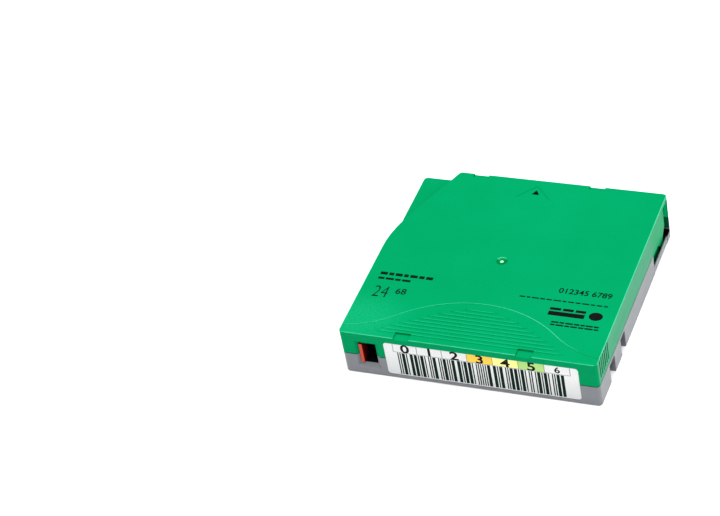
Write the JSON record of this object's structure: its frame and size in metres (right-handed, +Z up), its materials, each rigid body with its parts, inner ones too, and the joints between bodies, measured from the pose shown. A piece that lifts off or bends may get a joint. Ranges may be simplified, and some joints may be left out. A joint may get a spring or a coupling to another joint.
{
  "type": "data tape cartridge",
  "caption": "Flat square cartridge holding a reel of half-inch data tape, with a sprung corner door, a write-protect slider, a front label and a stepped corner.",
  "frame": {"origin": "centre of the case's underside", "axes": "+Z up, +Y the way the cartridge goes into a drive (the label faces -Y), +X to the right seen from the label side"},
  "size_m": [0.1054, 0.102, 0.0215],
  "materials": {
    "green_plastic": "fine satin texture",
    "grey_plastic": "fine satin texture",
    "label_paper": "coated paper",
    "red_plastic": "satin",
    "door_plastic": "satin",
    "spring_steel": "drawn wire",
    "reel_plastic": "satin",
    "flange_plastic": "satin",
    "plate_steel": "stamped",
    "tape_film": "wound film",
    "brake_plastic": "satin",
    "pad_plastic": "satin",
    "pin_steel": "turned and polished",
    "clip_plastic": "satin",
    "board_laminate": "laminate",
    "chip_resin": "moulded resin",
    "screw_steel": "zinc plated"
  },
  "bodies": {
    "case": {"upper_shell": "green_plastic", "lower_shell": "grey_plastic", "front_label": "label_paper", "case_screws": "screw_steel", "leader_pin": "pin_steel", "leader_pin_clip": "clip_plastic", "pin_retaining_spring": "spring_steel", "leader_tape": "tape_film", "memory_board": "board_laminate", "memory_chip": "chip_resin", "door_spring": "spring_steel", "brake_spring": "spring_steel"},
    "door": {"access_door": "door_plastic"},
    "write_protect": {"write_protect_slider": "red_plastic"},
    "reel": {"reel_hub": "reel_plastic", "reel_upper_flange": "flange_plastic", "clutch_plate": "plate_steel", "tape_pack": "tape_film"},
    "brake": {"brake_button": "brake_plastic"},
    "release": {"release_pad": "pad_plastic"}
  },
  "joints": [
    {"name": "door_slide", "type": "slide", "parent": "case", "child": "door", "axis": [0, -1, 0], "range_m": [0, 0.018], "stiffness_N_per_m": 60, "springref_m": -0.02, "deforming": ["door_spring"]},
    {"name": "write_protect_slide", "type": "slide", "parent": "case", "child": "write_protect", "axis": [1, 0, 0], "range_m": [0, 0.0053]},
    {"name": "reel_spin", "type": "hinge", "parent": "case", "child": "reel", "pos_m": [-0.0014, 0, 0], "axis": [0, 0, 1], "continuous": true},
    {"name": "brake_lift", "type": "slide", "parent": "case", "child": "brake", "axis": [0, 0, 1], "range_m": [-0.0014, 0.0012], "stiffness_N_per_m": 400, "deforming": ["brake_spring"]},
    {"name": "release_pad_lift", "type": "slide", "parent": "reel", "child": "release", "axis": [0, 0, 1], "range_m": [-0.0014, 0.0012], "stiffness_N_per_m": 40}
  ],
  "couplings": [
    {"joint": "release_pad_lift", "follows": "brake_lift", "ratio": 1}
  ]
}
